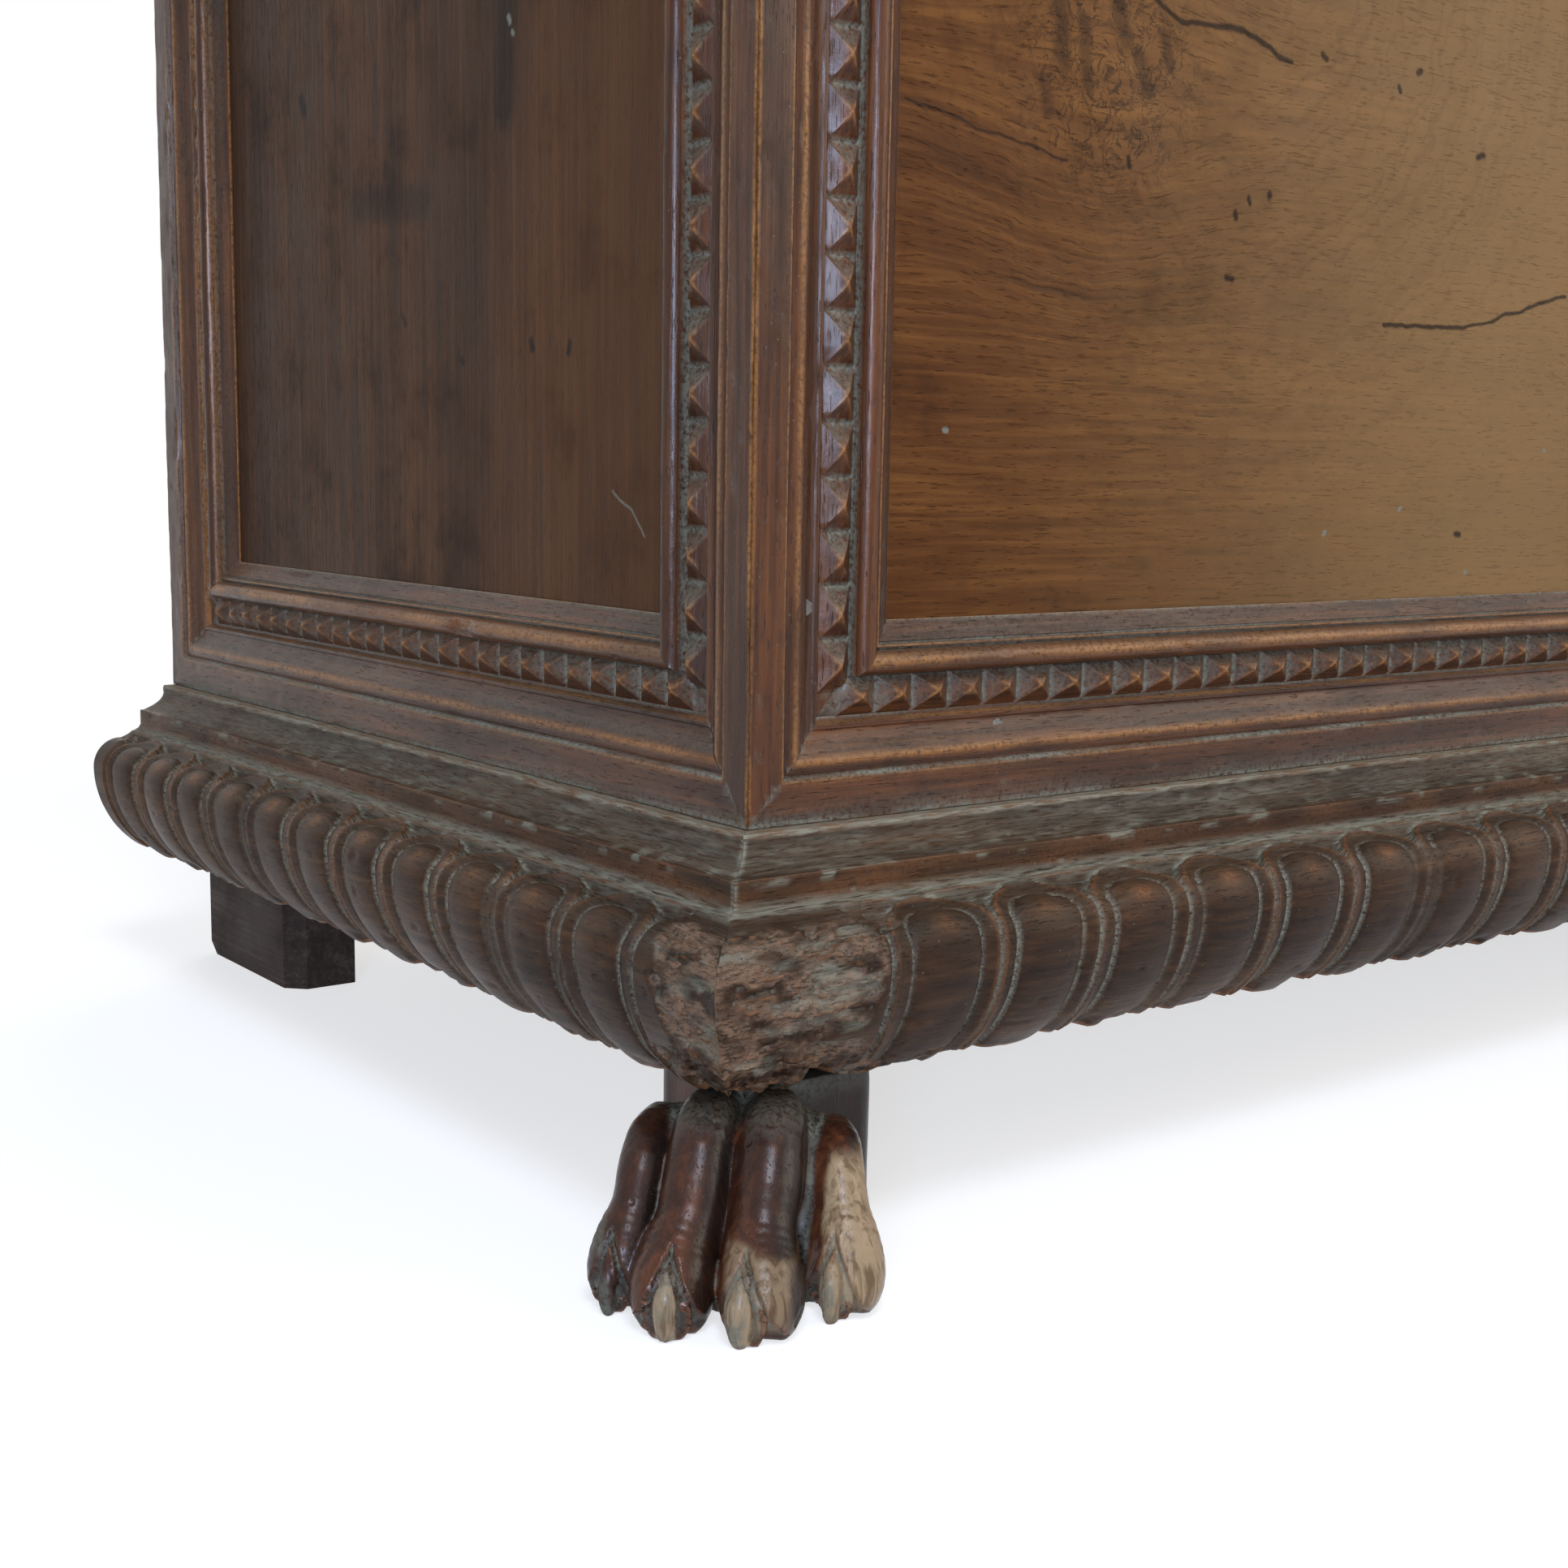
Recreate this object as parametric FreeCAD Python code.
"""A walnut cassone: a long chest with moulded frames, a gadrooned base and lion paw feet.

Millimetres, +Z up. X runs along the front, the front faces -Y, and the origin lies
on the floor under the middle of the whole object.
"""
import FreeCAD
import Part
import math
import os

# The case between its outermost wall planes
case_length = 1625.0
case_depth = 530.0
case_height = 446.0
foot_height = 64.0

# The boards of the case and the strip of air at the iron work
front_board_thick = 25.0
end_board_thick = 25.0
back_board_thick = 24.0
bottom_board_thick = 20.0
bottom_board_rise = 6.0
board_joint_share = 0.5
iron_gap = 0.3

# Moulded frame: widths across it from its outer edge, depths behind its flat band
frame_thick = 12.25
band_width = 15.4
band_groove_width = 1.2
band_groove_depth = 2.1
ogee_width = 16.6
ogee_crest_depth = 1.4
ogee_foot_depth = 6.2
fillet_width = 2.7
strip_width = 14.0
strip_base_depth = 8.75
point_height = 5.9
point_inset = 10.7
point_pitch_aim_x = 17.45
point_pitch_aim_z = 18.85
bead_width = 8.8
bead_crest_depth = 0.6
bead_foot_depth = 5.2
quirk_width = 3.2
quirk_depth = 6.4
slope_width = 7.2
slope_edge_thick = 1.2

# Base moulding: reaches outwards from the wall plane, drops below the dust line
ledge_reach = 5.5
cove_top_drop = 1.8
cove_reach = 17.0
cove_drop = 12.5
cove_sag_shares = (0.35, 0.72)
fascia_reach = 19.0
fascia_top_drop = 13.5
fascia_foot_drop = 20.5
quirk_reach = 27.5
quirk_drop = 23.0
bulge_reach = 45.5
bulge_drop = 42.0
bulge_top_radius = 16.0
base_foot_reach = 22.0
base_height = 87.0
base_core_reach = 13.0

# Gadroons: tongues inside arched rims
gadroon_pitch_aim_front = 48.8
gadroon_pitch_aim_side = 46.2
gadroon_first_front = 55.8
gadroon_first_side = 28.7
gadroon_rear_margin = 39.3
gadroon_groove_depth = 4.2
rim_width = 8.6
rim_crest_depth = 1.0
rim_foot_depth = 3.2
tongue_shoulder = 9.0
arch_share = 0.75
leaf_crest_depth = 0.8
leaf_edge = 9.0

# Lion paw feet under the front corners
paw_reach = 76.0
paw_half_span = 37.0
paw_shift = 3.5
toe_radius = 14.4
claw_radius = 5.2
shank_front_inset = 14.0
shank_side_inset = 8.0
shank_width = 58.0
shank_chamfer = 8.0

# Block feet under the rear corners
block_inset = 18.0
block_thick = 36.0
block_length = 107.0
block_chamfer = 9.0
block_foot_chamfer = 6.0
block_cove_radius = 12.0

# Pegs in the outer members of the front frame
peg_radius = 3.0
peg_length = 24.0
peg_across = 28.0
peg_sunk = 5.4
peg_from_end = 120.0
peg_from_foot = 75.0

# Lid and its edge moulding
lid_thick = 38.0
lid_overhang = 40.0
lid_edge_width = 52.0
lid_rear_overhang = 30.0
lid_fillet = 5.0
lid_cove_reach = 12.0
lid_nose_radius = 9.0
lid_lip = 2.5
cove_middle_shares = (0.3, 0.4)
batten_thick = 20.0
batten_width = 60.0
batten_wall_gap = 6.0
batten_front_gap = 45.0
batten_rear_gap = 30.0
batten_chamfer = 8.0

# Hinges
hinge_from_end = 300.0
strap_width = 34.0
strap_thick = 4.0
strap_length = 270.0
strap_tip_share = 0.45
knuckle_radius = 6.0
lid_knuckle_width = 15.0
knuckle_side_gap = 0.5
pin_radius = 3.0
pin_fit = 0.06
pin_head_radius = 4.6
pin_head_thick = 2.0
leaf_drop = 74.0
nail_side = 3.6
nail_length = 18.0
nail_head_side = 9.0
nail_head_top_share = 0.4
nail_head_thick = 1.8
strap_nail_shares = (0.18, 0.5, 0.78)
leaf_nail_shares = (0.45, 0.8)

# Lock
lock_width = 116.0
lock_thick = 24.0
lock_below_keyhole = 10.0
lock_top_gap = 6.0
bolt_long = 46.0
bolt_thick = 6.0
bolt_high = 10.0
bolt_drop = 18.0
bolt_travel = 14.0
bolt_tip_gap = 1.5
bolt_tail_room = 2.0
staple_plate_length = 62.0
staple_plate_thick = 3.0
staple_thick = 5.0
staple_width = 14.0
staple_drop = 34.0
staple_gap = 1.6
eye_clear = 0.8
keyhole_radius = 6.0
keyhole_slot = 6.0
keyhole_height = 28.0
keyhole_below_frame = 5.0
lock_chamber_depth = 14.0
lock_nail_inset = 9.0

# Overrun of every cutting tool past the face that it cuts
overrun = 2.0

# How many flats stand for a hollow or a round
moulding_flat_count = 3
bead_flat_count = 4
bulge_top_flat_count = 2
bulge_foot_flat_count = 2
toe_side_count = 8
claw_side_count = 4
peg_side_count = 6
knuckle_side_count = 12
pin_head_side_count = 8

# Volume under which four points count as lying flat
flatness = 0.001

# Toes: shares of the reach, of the half span, of the foot's height and of the toe's radius
inner_toe_shares = ((0.18, 0.31, 0.89, 0.57), (0.36, 0.32, 0.83, 0.71), (0.55, 0.32, 0.62, 0.78),
                    (0.68, 0.33, 0.44, 0.75), (0.79, 0.37, 0.28, 0.97), (0.86, 0.38, 0.18, 0.98),
                    (0.93, 0.38, 0.09, 0.60))
outer_toe_shares = ((0.13, 0.82, 0.78, 0.42), (0.32, 0.90, 0.74, 0.52), (0.50, 0.97, 0.46, 0.58),
                    (0.57, 1.02, 0.26, 0.80), (0.61, 1.03, 0.16, 0.80), (0.65, 1.04, 0.07, 0.45))

# Claws: as the toes, with the claw's radius
inner_claw_shares = ((0.96, 0.38, 0.37, 0.30), (1.00, 0.38, 0.20, 1.00), (1.00, 0.38, 0.01, 0.25))
outer_claw_shares = ((0.69, 1.03, 0.33, 0.30), (0.72, 1.04, 0.18, 0.85), (0.72, 1.05, 0.01, 0.25))

# The palm that shows between the toes: reach in the middle, reach at the sides, height
palm_shares = ((0.26, 0.16, 0.80), (0.62, 0.48, 0.52), (0.80, 0.60, 0.05))
palm_middle_share = 0.32
palm_side_share = 0.78

slant = math.sqrt(0.5)


def point(x, y, z):
    """A point of the model."""
    return FreeCAD.Vector(x, y, z)


def paw_point(reach_share, span_share, height_share, side):
    """A place on the paw, measured outwards along the diagonal of its corner."""
    out = paw_reach * reach_share
    across = paw_half_span * span_share * side + paw_shift
    return point(slant * (across - out), -slant * (across + out), foot_height * height_share)


def ring(centre, ahead, radius, sides):
    """The corners of a ring square to the way that a toe runs."""
    across = point(slant, -slant, 0)
    upward = across.cross(ahead)
    corners = []
    for index in range(sides):
        turn = 2 * math.pi * (index + 0.5) / sides
        corners.append(centre + across * (radius * math.cos(turn)) + upward * (radius * math.sin(turn)))
    return corners


def tube_rings(shares, radius, side, sides):
    """The rings of a toe or a claw, from the top down."""
    outward = point(-slant, -slant, 0)
    places = [paw_point(*station[:3], side) for station in shares]
    rings = []
    for index, station in enumerate(shares):
        way = places[min(len(places) - 1, index + 1)] - places[max(0, index - 1)]
        ahead = (outward * way.dot(outward) + point(0, 0, way.z)).normalize()
        rings.append(ring(places[index], ahead, radius * station[3], sides))
    return rings


def tube_reach(shares):
    """How far forwards from the corner of the case a toe's rings reach."""
    rings = tube_rings(shares, toe_radius, 1, toe_side_count)
    return max(-corner.y for corners in rings for corner in corners)


# Places worked out from the sizes above
paw_side_reach = max(tube_reach(inner_toe_shares), tube_reach(outer_toe_shares))
dust_line_height = foot_height + base_height
half_length = case_length / 2
front_y = (paw_side_reach - lid_rear_overhang - case_depth) / 2
back_y = front_y + case_depth
wall_top = dust_line_height + case_height
board_front_y = front_y + frame_thick
board_half_length = half_length - frame_thick
inner_front_y = board_front_y + front_board_thick
inner_back_y = back_y - back_board_thick
inner_half_length = board_half_length - end_board_thick
strip_start = band_width + band_groove_width + ogee_width + fillet_width
strip_crest = strip_start + strip_width / 2
strip_end = strip_start + strip_width
bead_end = strip_end + bead_width
quirk_end = bead_end + quirk_width
frame_width = quirk_end + slope_width
strip_crest_depth = strip_base_depth - point_height
bulge_foot_radius = (((base_height - bulge_drop) ** 2 + (bulge_reach - base_foot_reach) ** 2)
                     / (2 * (bulge_reach - base_foot_reach)))
bulge_foot_angle = math.degrees(math.asin((base_height - bulge_drop) / bulge_foot_radius))
hinge_y = back_y + knuckle_radius + iron_gap
hinge_z = wall_top + strap_thick - knuckle_radius - iron_gap
hinge_x = half_length - hinge_from_end
lock_y = inner_front_y
lock_top = wall_top - lock_top_gap
bolt_z = lock_top - bolt_drop
bolt_y = lock_y + lock_thick / 2
keyhole_z = wall_top - frame_width - keyhole_below_frame - keyhole_radius
keyhole_foot = keyhole_z + keyhole_radius - keyhole_height
lock_foot = keyhole_foot - lock_below_keyhole

X_AXIS = FreeCAD.Vector(1, 0, 0)
Y_AXIS = FreeCAD.Vector(0, 1, 0)
Z_AXIS = FreeCAD.Vector(0, 0, 1)
HERE = FreeCAD.Vector(0, 0, 0)


def box(x0, x1, y0, y1, z0, z1):
    """A box between two corners."""
    return Part.makeBox(x1 - x0, y1 - y0, z1 - z0, point(x0, y0, z0))


def flats(start, middle, end, count):
    """Points along the arc through three points, spaced evenly, without its start."""
    arc = Part.Arc(start, middle, end)
    span = arc.LastParameter - arc.FirstParameter
    return [arc.value(arc.FirstParameter + span * (index + 1) / count) for index in range(count)]


def outline(start, steps, count=moulding_flat_count):
    """A closed face: each step is an end point, or the middle and the end of a round."""
    corners = [start]
    for step in steps:
        if len(step) == 1:
            corners.append(step[0])
        else:
            corners.extend(flats(corners[-1], step[0], step[1], count))
    return polygon(corners)


def polygon(points):
    """A closed face with straight sides."""
    return Part.Face(Part.makePolygon(points + [points[0]]))


def moved(shape, x=0, y=0, z=0):
    """A copy of a shape, shifted."""
    copy = shape.copy()
    copy.translate(point(x, y, z))
    return copy


def turned(shape, axis, degrees):
    """A copy of a shape, turned about an axis through the origin."""
    copy = shape.copy()
    copy.rotate(HERE, axis, degrees)
    return copy


def fuse_all(shapes):
    """One solid out of several that meet."""
    joined = shapes[0].fuse(shapes[1:])
    return joined.removeSplitter()


def cut_all(shape, tools):
    """A shape with several tools cut out of it."""
    return shape.cut(tools)


def closed(faces):
    """A solid from the faces that close it."""
    return Part.Solid(Part.Shell(faces))


def solid_of(shape):
    """The one solid that a shape holds, or the shape itself where it holds more."""
    if len(shape.Solids) == 1:
        return shape.Solids[0]
    return shape


# Mouldings are first made as a bottom rail in front of y = 0, centred on x = 0, with
# their outer edge at z = 0 and their depth along +y.

def mitre_keeper(length, width):
    """The part of a rail between the two mitres in the plane of its face."""
    half = length / 2
    corners = [point(-half, -overrun, 0), point(half, -overrun, 0),
               point(half - width, -overrun, width), point(width - half, -overrun, width)]
    return polygon(corners).extrude(Y_AXIS * (frame_thick + 2 * overrun))


def corner_keeper(length, mitred_left, mitred_right):
    """The part of a rail between the mitres where two walls of the case meet."""
    half = length / 2
    left = frame_thick if mitred_left else 0
    right = frame_thick if mitred_right else 0
    corners = [point(-half, 0, -overrun), point(half, 0, -overrun),
               point(half - right, frame_thick, -overrun), point(left - half, frame_thick, -overrun)]
    return polygon(corners).extrude(Z_AXIS * (frame_width + 2 * overrun))


def outer_profile(x, edge_mitred):
    """Section of an outer member: flat band, groove, ogee and fillet."""
    groove = band_width + band_groove_width
    ogee_mid = groove + ogee_width / 2
    ogee_end = groove + ogee_width
    half_depth = (ogee_crest_depth + ogee_foot_depth) / 2
    crest = point(x, ogee_crest_depth, groove + ogee_width / 4)
    hollow = point(x, ogee_foot_depth, ogee_end - ogee_width / 4)
    steps = [[point(x, 0, band_width)],
             [point(x, band_groove_depth, groove)],
             [crest, point(x, half_depth, ogee_mid)],
             [hollow, point(x, ogee_foot_depth, ogee_end)],
             [point(x, strip_base_depth, ogee_end)],
             [point(x, strip_base_depth, strip_start)],
             [point(x, frame_thick, strip_start)],
             [point(x, frame_thick, frame_thick if edge_mitred else 0)]]
    return outline(point(x, 0, 0), steps)


def outer_member(length, edge_mitred=False, mitred_left=False, mitred_right=False):
    """One outer frame member, mitred at both ends."""
    rail = outer_profile(-length / 2, edge_mitred).extrude(X_AXIS * length)
    rail = rail.common(mitre_keeper(length, frame_width))
    if mitred_left or mitred_right:
        rail = rail.common(corner_keeper(length, mitred_left, mitred_right))
    return solid_of(rail)


def inner_profile(x):
    """Section of an inner member without its points: strip, round bead, quirk and slope."""
    crest = strip_end + bead_width / 2
    corners = [point(x, strip_base_depth, strip_start), point(x, strip_base_depth, strip_end),
               point(x, bead_foot_depth, strip_end)]
    corners.extend(flats(corners[-1], point(x, bead_crest_depth, crest),
                         point(x, bead_foot_depth, bead_end), bead_flat_count))
    corners.extend([point(x, bead_foot_depth, bead_end + quirk_width / 2),
                    point(x, quirk_depth, quirk_end),
                    point(x, frame_thick - slope_edge_thick, frame_width),
                    point(x, frame_thick, frame_width), point(x, frame_thick, strip_start)])
    return polygon(corners)


def point_pitch(length, pitch_aim):
    """How many diamond points a member has, and their pitch."""
    run = length - 2 * (strip_crest + point_inset)
    count = max(1, round(run / pitch_aim)) + 1
    return count, run / max(1, count - 1)


def diamond(x0, x1):
    """The four facets of one diamond point."""
    top = point((x0 + x1) / 2, strip_crest_depth, strip_crest)
    foot = [point(x0, strip_base_depth, strip_start), point(x1, strip_base_depth, strip_start),
            point(x1, strip_base_depth, strip_end), point(x0, strip_base_depth, strip_end)]
    return [polygon([foot[index], foot[(index + 1) % 4], top]) for index in range(4)]


def diamond_row(length, pitch_aim):
    """The row of diamond points with the wood that carries it."""
    count, pitch = point_pitch(length, pitch_aim)
    valleys = [(index - count / 2) * pitch for index in range(count + 1)]
    faces = []
    for x0, x1 in zip(valleys, valleys[1:]):
        faces.extend(diamond(x0, x1))
    first = valleys[0]
    last = valleys[-1]
    for z in (strip_start, strip_end):
        edge = [point(x, strip_base_depth, z) for x in valleys]
        faces.append(polygon(edge + [point(last, frame_thick, z), point(first, frame_thick, z)]))
    for x in (first, last):
        faces.append(polygon([point(x, strip_base_depth, strip_start),
                              point(x, strip_base_depth, strip_end),
                              point(x, frame_thick, strip_end), point(x, frame_thick, strip_start)]))
    faces.append(polygon([point(first, frame_thick, strip_start), point(last, frame_thick, strip_start),
                          point(last, frame_thick, strip_end), point(first, frame_thick, strip_end)]))
    return closed(faces)


def inner_member(length, pitch_aim):
    """One inner frame member with its diamond points, mitred at both ends."""
    rail = inner_profile(-length / 2).extrude(X_AXIS * length)
    count, pitch = point_pitch(length, pitch_aim)
    half = count * pitch / 2
    channel = box(-half, half, strip_base_depth - overrun, frame_thick + overrun, strip_start,
                  strip_end)
    rail = rail.cut(channel).fuse(diamond_row(length, pitch_aim))
    return solid_of(rail.common(mitre_keeper(length, frame_width)))


def as_top(rail):
    """Turn a bottom rail over to the top of its frame."""
    return moved(turned(rail, Y_AXIS, 180), z=case_height)


def as_left_stile(rail, length):
    """Stand a rail up at the left end of a frame."""
    return moved(turned(rail, Y_AXIS, 90), x=-length / 2, z=case_height / 2)


def as_right_stile(rail, length):
    """Stand a rail up at the right end of a frame."""
    return moved(turned(rail, Y_AXIS, -90), x=length / 2, z=case_height / 2)


def on_front(shape):
    """Set what was made in front of y = 0 on the front of the case."""
    return moved(shape, y=front_y, z=dust_line_height)


def on_left(shape):
    """Set what was made in front of y = 0 on the left end of the case."""
    return moved(turned(shape, Z_AXIS, -90), x=-half_length, y=front_y + case_depth / 2,
                 z=dust_line_height)


def on_right(shape):
    """Set what was made in front of y = 0 on the right end of the case."""
    return moved(turned(shape, Z_AXIS, 90), x=half_length, y=front_y + case_depth / 2,
                 z=dust_line_height)


def frame_members(length, corner_left, corner_right):
    """The eight members of one frame, by name, in front of y = 0."""
    stile_left = outer_member(case_height, edge_mitred=corner_left)
    stile_right = outer_member(case_height, edge_mitred=corner_right)
    inner_rail = inner_member(length, point_pitch_aim_x)
    inner_stile = inner_member(case_height, point_pitch_aim_z)
    return {
        "rail_bottom": outer_member(length, False, corner_left, corner_right),
        "rail_top": as_top(outer_member(length, False, corner_right, corner_left)),
        "stile_left": as_left_stile(stile_left, length),
        "stile_right": as_right_stile(stile_right, length),
        "points_bottom": inner_rail,
        "points_top": as_top(inner_rail),
        "points_left": as_left_stile(inner_stile, length),
        "points_right": as_right_stile(inner_stile, length),
    }


def peg_places():
    """Where the pegs of the front frame stand: two in each outer member."""
    places = []
    for side in (-1, 1):
        rail_x = side * (half_length - peg_from_end)
        stile_x = side * (half_length - peg_across)
        places.append((rail_x, peg_across))
        places.append((rail_x, case_height - peg_across))
        places.append((stile_x, peg_from_foot))
        places.append((stile_x, case_height - peg_from_foot))
    return places


def frame_pegs():
    """The pegs of the front frame."""
    pegs = []
    for x, z in peg_places():
        corners = []
        for index in range(peg_side_count):
            turn = 2 * math.pi * (index + 0.5) / peg_side_count
            corners.append(point(x + peg_radius * math.cos(turn), peg_sunk,
                                 z + peg_radius * math.sin(turn)))
        pegs.append(on_front(polygon(corners).extrude(Y_AXIS * peg_length)))
    return pegs


def back_profile():
    """The base moulding above and behind its bulge, as (reach, drop), from back to front."""
    cove_mid = point(0, ledge_reach + (cove_reach - ledge_reach) * cove_sag_shares[0],
                     cove_top_drop + (cove_drop - cove_top_drop) * cove_sag_shares[1])
    cove = flats(point(0, ledge_reach, cove_top_drop), cove_mid, point(0, cove_reach, cove_drop),
                 moulding_flat_count)
    places = [(-frame_thick, base_height), (-frame_thick, 0), (ledge_reach, 0),
              (ledge_reach, cove_top_drop)]
    places.extend((place.y, place.z) for place in cove)
    places.extend([(fascia_reach, fascia_top_drop), (fascia_reach, fascia_foot_drop),
                   (quirk_reach - gadroon_groove_depth, quirk_drop)])
    return places


def arch_fall(x, middle, pitch):
    """How far the round top of a gadroon has fallen at a place, from 0 to 1."""
    across = min(1, abs(x - middle) / (pitch / 2))
    return 1 - math.sqrt(1 - across ** 2)


def gadroon_plan(x, pitch):
    """One gadroon across the bulge as (x, sunk depth, fall of its top): rim, tongue, rim."""
    middle = x + pitch / 2
    half = [(rim_width / 2, rim_crest_depth), (rim_width, rim_foot_depth),
            (rim_width + tongue_shoulder, 0)]
    near = [(x + along, sunk) for along, sunk in half]
    far = [(x + pitch - along, sunk) for along, sunk in reversed(half)]
    plan = [(place, sunk, arch_fall(place, middle, pitch)) for place, sunk in near + far]
    return plan + [(x + pitch, gadroon_groove_depth, 1)]


def moulding_plan(length, start, count, pitch):
    """The whole moulding in plan: leaf, gadroons, leaf."""
    first = -length / 2 - bulge_reach - overrun
    last = length / 2 + bulge_reach + overrun
    end = start + count * pitch
    plan = [(first, leaf_crest_depth, 0), (start - leaf_edge, leaf_crest_depth, 0),
            (start, gadroon_groove_depth, 1)]
    for index in range(count):
        plan.extend(gadroon_plan(start + index * pitch, pitch))
    plan.append((end + leaf_edge, leaf_crest_depth, 0))
    plan.append((last, leaf_crest_depth, 0))
    return plan


def bulge_rows(plan):
    """The front of the bulge as rows of points, from the quirk above it to its foot."""
    rows = [[point(x, gadroon_groove_depth - quirk_reach, -quirk_drop) for x, sunk, fall in plan]]
    heart = bulge_reach - bulge_top_radius
    for index in range(bulge_top_flat_count + 1):
        turn = math.pi / 2 * (1 - index / bulge_top_flat_count)
        row = []
        for x, sunk, fall in plan:
            lean = turn * (1 - arch_share * fall)
            radius = bulge_top_radius - sunk
            row.append(point(x, -(heart + radius * math.cos(lean)),
                             radius * math.sin(lean) - bulge_drop))
        rows.append(row)
    for index in range(1, bulge_foot_flat_count + 1):
        turn = math.radians(bulge_foot_angle) * index / bulge_foot_flat_count
        reach = bulge_reach - bulge_foot_radius * (1 - math.cos(turn))
        drop = bulge_drop + bulge_foot_radius * math.sin(turn)
        rows.append([point(x, sunk - reach, -drop) for x, sunk, fall in plan])
    return rows


def facets(a, b, c, d):
    """The face between four points: one where they lie flat, or else two."""
    if abs((b - a).cross(d - a).dot(c - a)) < flatness:
        return [polygon([a, b, c, d])]
    return [polygon([a, b, c]), polygon([a, c, d])]


def moulding_solid(plan):
    """The base moulding before it is mitred."""
    back = back_profile()
    rows = bulge_rows(plan)
    first = plan[0][0]
    last = plan[-1][0]
    faces = []
    for (reach0, drop0), (reach1, drop1) in zip(back, back[1:-1]):
        faces.append(polygon([point(first, -reach0, -drop0), point(last, -reach0, -drop0),
                              point(last, -reach1, -drop1), point(first, -reach1, -drop1)]))
    brow = back[-2]
    faces.append(polygon([point(last, -brow[0], -brow[1]), point(first, -brow[0], -brow[1])] + rows[0]))
    for upper, lower in zip(rows, rows[1:]):
        for index in range(len(plan) - 1):
            faces.extend(facets(upper[index], upper[index + 1], lower[index + 1], lower[index]))
    faces.append(polygon(rows[-1] + [point(last, frame_thick, -base_height),
                                     point(first, frame_thick, -base_height)]))
    for end, x in ((0, first), (-1, last)):
        side = [point(x, -reach, -drop) for reach, drop in back[:-1]]
        side.extend(row[end] for row in rows)
        faces.append(polygon(side))
    return closed(faces)


def base_keeper(length, mitred_left, mitred_right):
    """The part of a base moulding between its mitres or square ends."""
    half = length / 2
    reach = bulge_reach + overrun
    left = 1 if mitred_left else 0
    right = 1 if mitred_right else 0
    corners = [point(-half - reach * left, -reach, 0), point(half + reach * right, -reach, 0),
               point(half - frame_thick * right, frame_thick, 0),
               point(frame_thick * left - half, frame_thick, 0)]
    drop = base_height + overrun
    return moved(polygon(corners).extrude(Z_AXIS * (drop + overrun)), z=-drop)


def base_member(length, first, last, pitch_aim, mitred_left, mitred_right):
    """One base moulding with its gadroons, in front of y = 0 and below z = 0."""
    run = length - first - last
    count = max(1, round(run / pitch_aim))
    pitch = run / count
    start = first - length / 2 - pitch / 2
    whole = moulding_solid(moulding_plan(length, start, count + 1, pitch))
    return solid_of(whole.common(base_keeper(length, mitred_left, mitred_right)))


def tube(rings):
    """A closed form through rings of changing size."""
    faces = [polygon(rings[0]), polygon(rings[-1])]
    for low, high in zip(rings, rings[1:]):
        for index in range(len(low)):
            after = (index + 1) % len(low)
            faces.extend(facets(low[index], low[after], high[after], high[index]))
    return closed(faces)


def palm():
    """The wood between the toes, flat where the toes hide it."""
    rings = []
    for middle_share, side_share, height_share in palm_shares:
        rings.append([paw_point(0, palm_side_share, height_share, 1),
                      paw_point(side_share, palm_side_share, height_share, 1),
                      paw_point(middle_share, palm_middle_share, height_share, 1),
                      paw_point(middle_share, palm_middle_share, height_share, -1),
                      paw_point(side_share, palm_side_share, height_share, -1),
                      paw_point(0, palm_side_share, height_share, -1)])
    return tube(rings)


def shank():
    """The block behind the toes."""
    front = -shank_front_inset
    side = -shank_side_inset
    back = shank_width - shank_front_inset
    inside = shank_width - shank_side_inset
    cut = shank_chamfer
    corners = [point(side + cut, front, 0), point(inside - cut, front, 0),
               point(inside, front + cut, 0), point(inside, back - cut, 0),
               point(inside - cut, back, 0), point(side + cut, back, 0),
               point(side, back - cut, 0), point(side, front + cut, 0)]
    return polygon(corners).extrude(Z_AXIS * foot_height)


def paw_foot():
    """The front left paw, with the corner of the case at x = 0, y = 0."""
    pieces = [shank(), palm()]
    for side in (-1, 1):
        for toe_shares, claw_shares in ((inner_toe_shares, inner_claw_shares),
                                        (outer_toe_shares, outer_claw_shares)):
            pieces.append(tube(tube_rings(toe_shares, toe_radius, side, toe_side_count)))
            pieces.append(tube(tube_rings(claw_shares, claw_radius, side, claw_side_count)))
    reach = 2 * paw_reach
    keeper = box(-reach, reach, -reach, reach, 0, foot_height)
    return solid_of(fuse_all(pieces).common(keeper))


def block_foot():
    """The rear left block foot, with the rear corner of the case at x = 0, y = 0."""
    x0 = block_inset
    x1 = block_inset + block_thick
    y0 = -block_length
    corners = [point(x0, 0, 0), point(x0, y0 + block_chamfer, 0), point(x0 + block_chamfer, y0, 0),
               point(x1, y0, 0), point(x1, 0, 0)]
    block = polygon(corners).extrude(Z_AXIS * foot_height)
    toe_cut = polygon([point(x0 - overrun, overrun, -overrun),
                       point(x0 - overrun, overrun, block_foot_chamfer + overrun),
                       point(x0 - overrun, -block_foot_chamfer - 2 * overrun, -overrun)])
    block = block.cut(toe_cut.extrude(X_AXIS * (block_thick + 2 * overrun)))
    cove = Part.makeCylinder(block_cove_radius, block_thick, point(x0 + block_chamfer, y0, foot_height),
                             X_AXIS)
    return solid_of(block.cut(cove))


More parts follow.
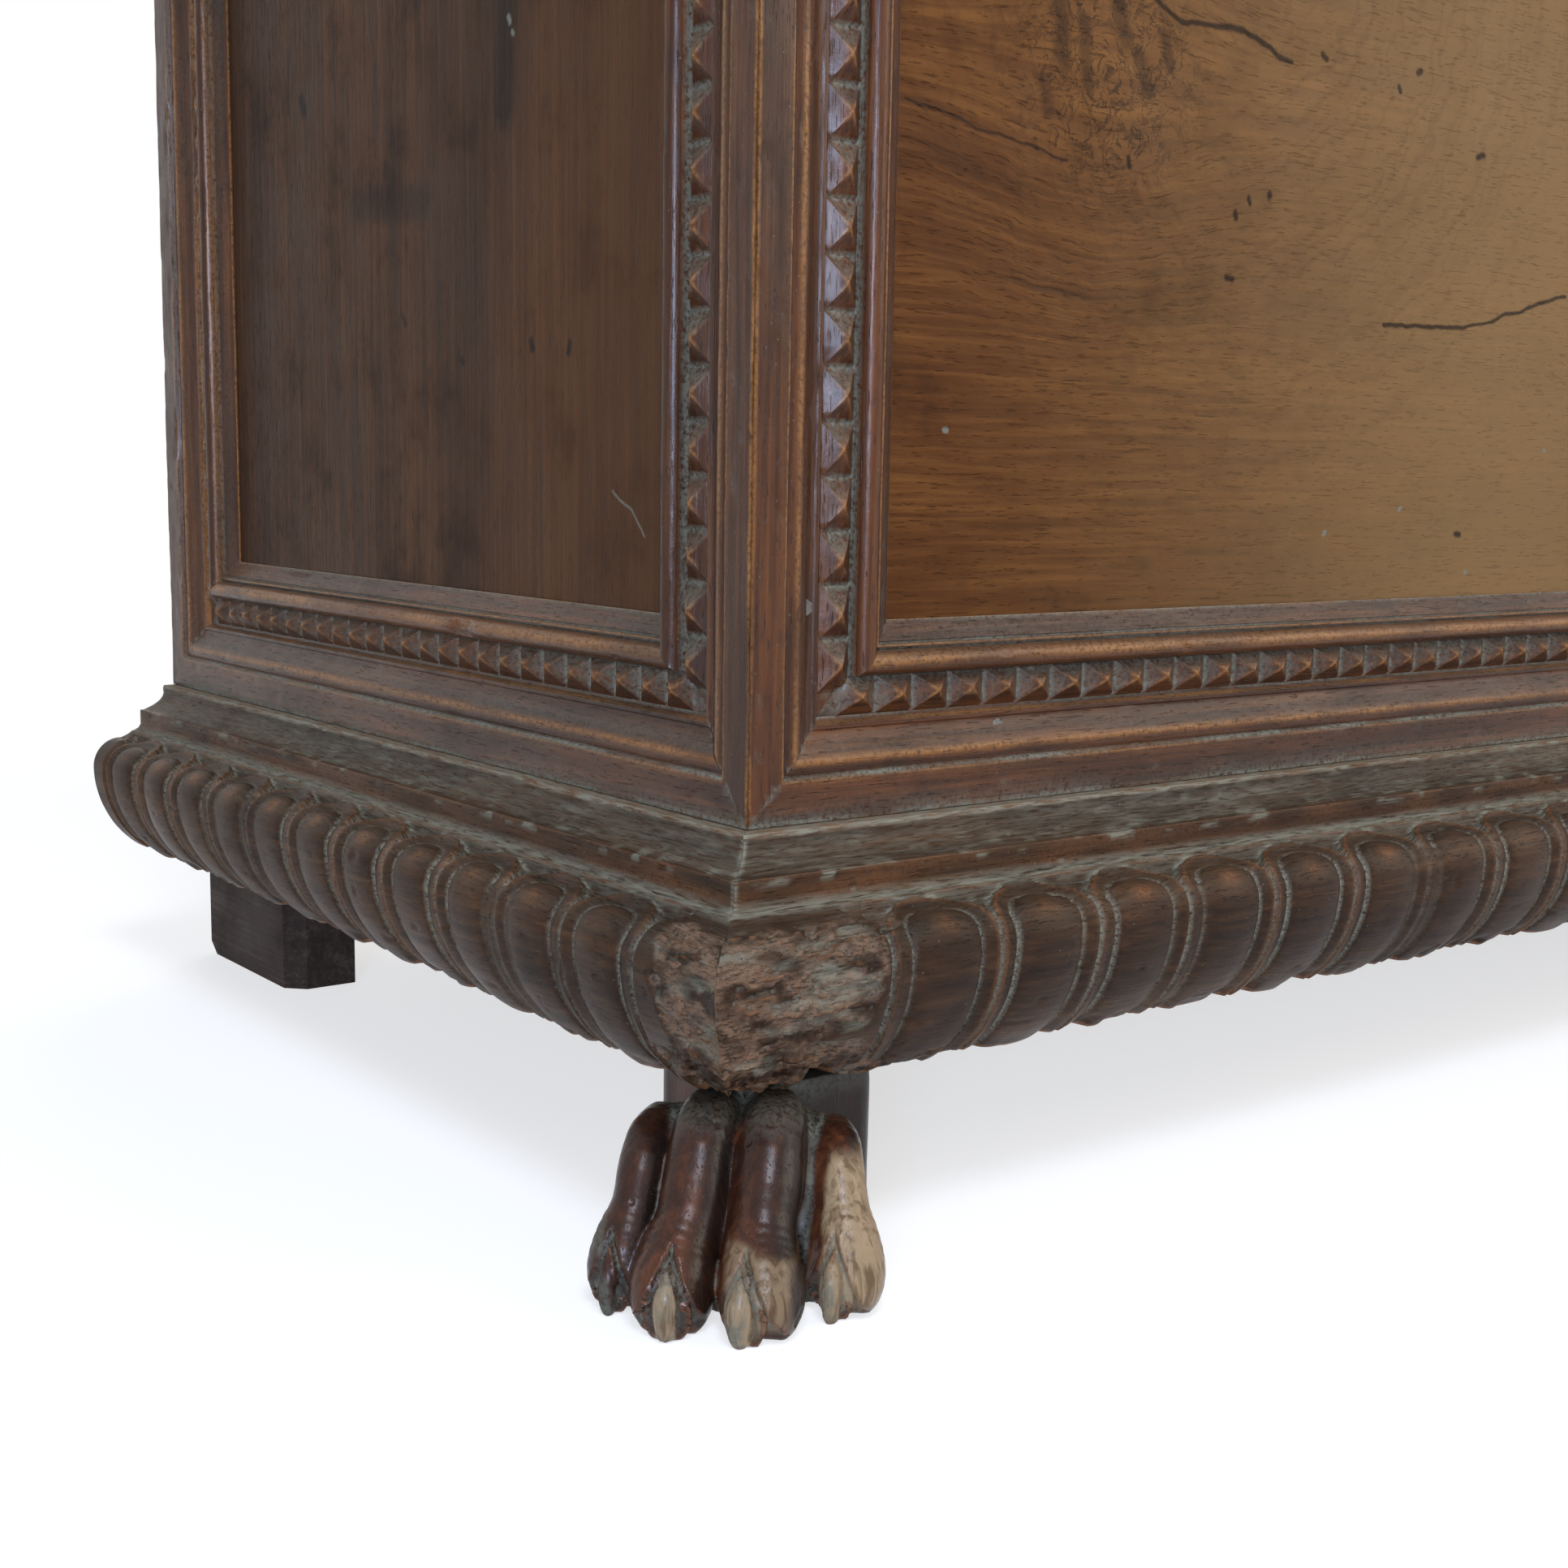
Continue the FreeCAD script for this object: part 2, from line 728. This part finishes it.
def lid_edge_section(x):
    """Section of the lid's edge moulding, outwards along -y, with its foot at z = 0."""
    reach = -lid_overhang
    inner = lid_edge_width - lid_overhang
    nose_low = lid_thick - 2 * lid_nose_radius
    cove_start = reach + lid_cove_reach
    cove_middle = point(x, cove_start - lid_cove_reach * cove_middle_shares[0],
                        lid_fillet + (nose_low - lid_fillet) * (1 - cove_middle_shares[1]))
    steps = [[point(x, cove_start, 0)],
             [point(x, cove_start, lid_fillet)],
             [cove_middle, point(x, reach + lid_lip, nose_low)],
             [point(x, reach, nose_low + lid_nose_radius), point(x, reach + lid_lip, lid_thick)],
             [point(x, inner, lid_thick)]]
    return outline(point(x, inner, 0), steps)


def lid_edge(length, mitred_left, mitred_right, tail):
    """One edge moulding of the lid; a square end runs past the case by the tail."""
    half = length / 2
    bar = lid_edge_section(-half - lid_edge_width).extrude(X_AXIS * (length + 2 * lid_edge_width))
    inner = lid_edge_width - lid_overhang
    reach = lid_overhang + overrun
    left_far = -half - (reach if mitred_left else tail)
    left_near = inner - half if mitred_left else left_far
    right_far = half + (reach if mitred_right else tail)
    right_near = half - inner if mitred_right else right_far
    corners = [point(left_far, -reach, -overrun), point(right_far, -reach, -overrun),
               point(right_near, inner, -overrun), point(left_near, inner, -overrun)]
    return solid_of(bar.common(polygon(corners).extrude(Z_AXIS * (lid_thick + 2 * overrun))))


def lid_board(nails):
    """The lid's board, with housings for the straps and for the knuckles."""
    inner = lid_edge_width - lid_overhang
    board = box(inner - half_length, half_length - inner, front_y + inner, back_y + lid_rear_overhang,
                wall_top, wall_top + lid_thick)
    tools = [nail for nail in nails]
    for side in (-1, 1):
        tools.append(strap_outline(side * hinge_x, wall_top - overrun, strap_thick + overrun))
        reach = strap_width / 2 + pin_head_thick + iron_gap
        tools.append(box(side * hinge_x - reach, side * hinge_x + reach, back_y - overrun,
                         back_y + lid_rear_overhang + overrun, wall_top - overrun,
                         wall_top + strap_thick))
    tools.append(staple_plate())
    return solid_of(cut_all(board, tools))


def strap_outline(x, z, thick):
    """The plan of a strap, pointed at its tip."""
    half = strap_width / 2
    tip = back_y - strap_length
    shoulder = tip + strap_width * strap_tip_share
    corners = [point(x - half, back_y, z), point(x - half, shoulder, z), point(x, tip, z),
               point(x + half, shoulder, z), point(x + half, back_y, z)]
    return polygon(corners).extrude(Z_AXIS * thick)


def hinge_bar(x0, x1, radius, sides):
    """A bar with flats about the hinge line."""
    corners = []
    for index in range(sides):
        turn = 2 * math.pi * (index + 0.5) / sides
        corners.append(point(x0, hinge_y + radius * math.cos(turn), hinge_z + radius * math.sin(turn)))
    return polygon(corners).extrude(X_AXIS * (x1 - x0))


def knuckle(x0, x1):
    """A forged knuckle about the hinge line."""
    return hinge_bar(x0, x1, knuckle_radius, knuckle_side_count)


def pin_bore(x0, x1):
    """The bore for a hinge pin."""
    return Part.makeCylinder(pin_radius + pin_fit, x1 - x0, point(x0, hinge_y, hinge_z), X_AXIS)


def hinge_strap(x, nails):
    """The iron strap under the lid with its knuckle."""
    half = lid_knuckle_width / 2
    neck = box(x - half, x + half, back_y, hinge_y, wall_top, wall_top + strap_thick)
    eye = knuckle(x - half, x + half)
    plate = strap_outline(x, wall_top, strap_thick)
    strap = fuse_all([plate, neck, eye])
    return solid_of(cut_all(strap, [pin_bore(x - half - overrun, x + half + overrun)] + nails))


def hinge_leaf(x, nails):
    """The iron leaf on the back with its two knuckles."""
    half = strap_width / 2
    gap = lid_knuckle_width / 2 + knuckle_side_gap
    z0 = hinge_z - leaf_drop
    plate = box(x - half, x + half, back_y, back_y + strap_thick, z0, hinge_z)
    room = box(x - gap, x + gap, back_y - overrun, hinge_y + knuckle_radius + overrun,
               hinge_z - knuckle_radius - knuckle_side_gap, hinge_z + knuckle_radius)
    leaf = fuse_all([plate, knuckle(x - half, x + half)])
    tools = [room, pin_bore(x - half - overrun, x + half + overrun)] + nails
    return solid_of(cut_all(leaf, tools))


def hinge_pin(x):
    """A hinge pin with its two flat heads."""
    half = strap_width / 2
    pin = Part.makeCylinder(pin_radius, strap_width, point(x - half, hinge_y, hinge_z), X_AXIS)
    heads = []
    for start in (x - half - pin_head_thick, x + half):
        heads.append(hinge_bar(start, start + pin_head_thick, pin_head_radius, pin_head_side_count))
    return solid_of(fuse_all([pin] + heads))


def nail(place, axis, degrees, length):
    """A forged nail: its head stands on the iron at a place, its shank runs inwards."""
    half = nail_side / 2
    wide = nail_head_side / 2
    narrow = wide * nail_head_top_share
    shank = box(-half, half, -half, half, 0, length)
    head = Part.makeWedge(-wide, -nail_head_thick, -wide, -narrow, -narrow, wide, 0, wide, narrow,
                          narrow)
    head = turned(head, X_AXIS, -90)
    whole = turned(fuse_all([shank, head]), axis, degrees)
    return solid_of(moved(whole, place.x, place.y, place.z))


def strap_nails():
    """The nails of both straps, driven up into the lid."""
    nails = []
    for side in (-1, 1):
        for share in strap_nail_shares:
            place = point(side * hinge_x, back_y - strap_length * share, wall_top)
            nails.append(nail(place, X_AXIS, 0, nail_length))
    return nails


def leaf_nails():
    """The nails of both leaves, driven into the back board."""
    nails = []
    for side in (-1, 1):
        for share in leaf_nail_shares:
            place = point(side * hinge_x, back_y + strap_thick, hinge_z - leaf_drop * share)
            nails.append(nail(place, X_AXIS, 90, nail_length))
    return nails


def lock_nails():
    """The nails that hold the lock case, driven forwards into the front board."""
    nails = []
    for side in (-1, 1):
        for z in (lock_top - lock_nail_inset, lock_foot + lock_nail_inset):
            place = point(side * (lock_width / 2 - lock_nail_inset), lock_y + lock_thick, z)
            nails.append(nail(place, X_AXIS, 90, lock_thick + nail_length))
    return nails


def keyhole_tool(y0, y1):
    """A keyhole: a round eye over a slot."""
    depth = y1 - y0
    eye = Part.makeCylinder(keyhole_radius, depth, point(0, y0, keyhole_z), Y_AXIS)
    slot = box(-keyhole_slot / 2, keyhole_slot / 2, y0, y1, keyhole_foot, keyhole_z)
    return fuse_all([eye, slot])


def lock_case(nails):
    """The lock's body: pocket for the staple, channel for the bolt, chamber behind the keyhole."""
    half = lock_width / 2
    body = box(-half, half, lock_y, lock_y + lock_thick, lock_foot, lock_top)
    pocket_x = staple_thick / 2 + staple_gap
    pocket_y = staple_width / 2 + staple_gap
    pocket_foot = wall_top - staple_drop - staple_gap
    pocket = box(-pocket_x, pocket_x, bolt_y - pocket_y, bolt_y + pocket_y, pocket_foot,
                 lock_top + overrun)
    tail = -staple_thick / 2 - bolt_tip_gap - bolt_long - bolt_tail_room
    tip = staple_thick / 2 + bolt_travel
    channel = box(tail, tip, bolt_y - bolt_thick / 2 - iron_gap, bolt_y + bolt_thick / 2 + iron_gap,
                  bolt_z - bolt_high / 2 - iron_gap, bolt_z + bolt_high / 2 + iron_gap)
    chamber = keyhole_tool(lock_y - overrun, lock_y + lock_chamber_depth)
    return solid_of(cut_all(body, [pocket, channel, chamber] + nails))


def lock_bolt():
    """The bolt, drawn back so that the lid is free."""
    tip = -staple_thick / 2 - bolt_tip_gap
    return box(tip - bolt_long, tip, bolt_y - bolt_thick / 2, bolt_y + bolt_thick / 2,
               bolt_z - bolt_high / 2, bolt_z + bolt_high / 2)


def staple_plate():
    """The plate of the staple, let into the lid."""
    half = staple_plate_length / 2
    return box(-half, half, bolt_y - staple_width / 2, bolt_y + staple_width / 2, wall_top,
               wall_top + staple_plate_thick)


def lock_staple():
    """The staple that hangs from the lid into the lock, with its eye for the bolt."""
    tongue = box(-staple_thick / 2, staple_thick / 2, bolt_y - staple_width / 2,
                 bolt_y + staple_width / 2, wall_top - staple_drop, wall_top)
    eye_y = bolt_thick / 2 + eye_clear
    eye_z = bolt_high / 2 + eye_clear
    eye = box(-staple_thick, staple_thick, bolt_y - eye_y, bolt_y + eye_y, bolt_z - eye_z,
              bolt_z + eye_z)
    return solid_of(fuse_all([staple_plate(), tongue]).cut(eye))


def lid_batten(side):
    """A batten across the lid, inside the chest, chamfered at both ends."""
    outer = inner_half_length - batten_wall_gap
    y0 = inner_front_y + batten_front_gap
    y1 = inner_back_y - batten_rear_gap
    low = wall_top - batten_thick
    corners = [point(0, y0, wall_top), point(0, y0, low + batten_chamfer),
               point(0, y0 + batten_chamfer, low), point(0, y1 - batten_chamfer, low),
               point(0, y1, low + batten_chamfer), point(0, y1, wall_top)]
    bar = polygon(corners).extrude(X_AXIS * batten_width)
    x0 = outer - batten_width if side > 0 else -outer
    return moved(bar, x=x0)


def case_boards(pegs, back_nails, front_nails):
    """The boards of the case."""
    half = board_half_length
    inner = inner_half_length
    floor_z = foot_height + bottom_board_rise
    middle_y = inner_front_y + (inner_back_y - inner_front_y) * board_joint_share
    front = box(-half, half, board_front_y, inner_front_y, foot_height, wall_top)
    front_keyhole = keyhole_tool(board_front_y - overrun, inner_front_y + overrun)
    back = box(-half, half, inner_back_y, back_y, foot_height, wall_top)
    left = box(-half, -inner, inner_front_y, inner_back_y, foot_height, wall_top)
    right = box(inner, half, inner_front_y, inner_back_y, foot_height, wall_top)
    return {
        "front_board": cut_all(front, [front_keyhole] + pegs + front_nails),
        "back_board": cut_all(back, back_nails),
        "left_end_board": left,
        "right_end_board": right,
        "bottom_board_front": box(-inner, inner, inner_front_y, middle_y, floor_z,
                                  floor_z + bottom_board_thick),
        "bottom_board_rear": box(-inner, inner, middle_y, inner_back_y, floor_z,
                                 floor_z + bottom_board_thick),
    }


def all_frames(pegs):
    """The three frames on the front and the ends, with the holes for their pegs."""
    nodes = {}
    faces = (("front", case_length, True, True, on_front),
             ("left_end", case_depth, False, True, on_left),
             ("right_end", case_depth, True, False, on_right))
    for face, length, corner_left, corner_right, place in faces:
        for name, member in frame_members(length, corner_left, corner_right).items():
            member = place(member)
            if face == "front" and not name.startswith("points"):
                member = cut_all(member, pegs)
            nodes[face + "_" + name] = member
    return nodes


def base_mouldings():
    """The base moulding on the front and both ends."""
    front = base_member(case_length, gadroon_first_front, gadroon_first_front,
                        gadroon_pitch_aim_front, True, True)
    left = base_member(case_depth, gadroon_rear_margin, gadroon_first_side,
                       gadroon_pitch_aim_side, False, True)
    right = base_member(case_depth, gadroon_first_side, gadroon_rear_margin,
                        gadroon_pitch_aim_side, True, False)
    return {"base_moulding_front": on_front(front), "base_moulding_left": on_left(left),
            "base_moulding_right": on_right(right)}


def all_feet():
    """The two paw feet in front and the two block feet behind."""
    paw = paw_foot()
    block = block_foot()
    mirrored_paw = paw.mirror(HERE, X_AXIS)
    mirrored_block = block.mirror(HERE, X_AXIS)
    return {"paw_foot_left": moved(paw, x=-half_length, y=front_y),
            "paw_foot_right": moved(mirrored_paw, x=half_length, y=front_y),
            "block_foot_left": moved(block, x=-half_length, y=back_y),
            "block_foot_right": moved(mirrored_block, x=half_length, y=back_y)}


def lid_mouldings():
    """The edge mouldings of the lid."""
    lift = wall_top - dust_line_height
    front = moved(lid_edge(case_length, True, True, 0), z=lift)
    left = moved(lid_edge(case_depth, False, True, lid_rear_overhang), z=lift)
    right = moved(lid_edge(case_depth, True, False, lid_rear_overhang), z=lift)
    return {"lid_moulding_front": on_front(front), "lid_moulding_left": on_left(left),
            "lid_moulding_right": on_right(right)}


def all_nodes():
    """Every named piece of the chest."""
    pegs = frame_pegs()
    nails_up = strap_nails()
    nails_back = leaf_nails()
    nails_lock = lock_nails()
    nodes = case_boards(pegs, nails_back, nails_lock)
    nodes.update(all_frames(pegs))
    nodes.update(base_mouldings())
    nodes.update(all_feet())
    nodes.update(lid_mouldings())
    nodes["frame_pegs"] = Part.makeCompound(pegs)
    nodes["lid_board"] = lid_board(nails_up)
    nodes["lid_batten_left"] = lid_batten(-1)
    nodes["lid_batten_right"] = lid_batten(1)
    for name, side in (("left", -1), ("right", 1)):
        nodes["hinge_strap_" + name] = hinge_strap(side * hinge_x, nails_up)
        nodes["hinge_leaf_" + name] = hinge_leaf(side * hinge_x, nails_back)
    nodes["hinge_pins"] = Part.makeCompound([hinge_pin(-hinge_x), hinge_pin(hinge_x)])
    nodes["strap_nails"] = Part.makeCompound(nails_up)
    nodes["leaf_nails"] = Part.makeCompound(nails_back)
    nodes["lock_nails"] = Part.makeCompound(nails_lock)
    nodes["lock_case"] = lock_case(nails_lock)
    nodes["lock_bolt"] = lock_bolt()
    nodes["lock_staple"] = lock_staple()
    return nodes


def write_nodes():
    """Write one STEP file per piece."""
    os.makedirs("parts", exist_ok=True)
    for name, shape in all_nodes().items():
        solids = len(shape.Solids)
        print(name, "solids", solids, "valid", shape.isValid(), "volume", round(shape.Volume))
        shape.exportStep(os.path.join("parts", name + ".step"))


write_nodes()
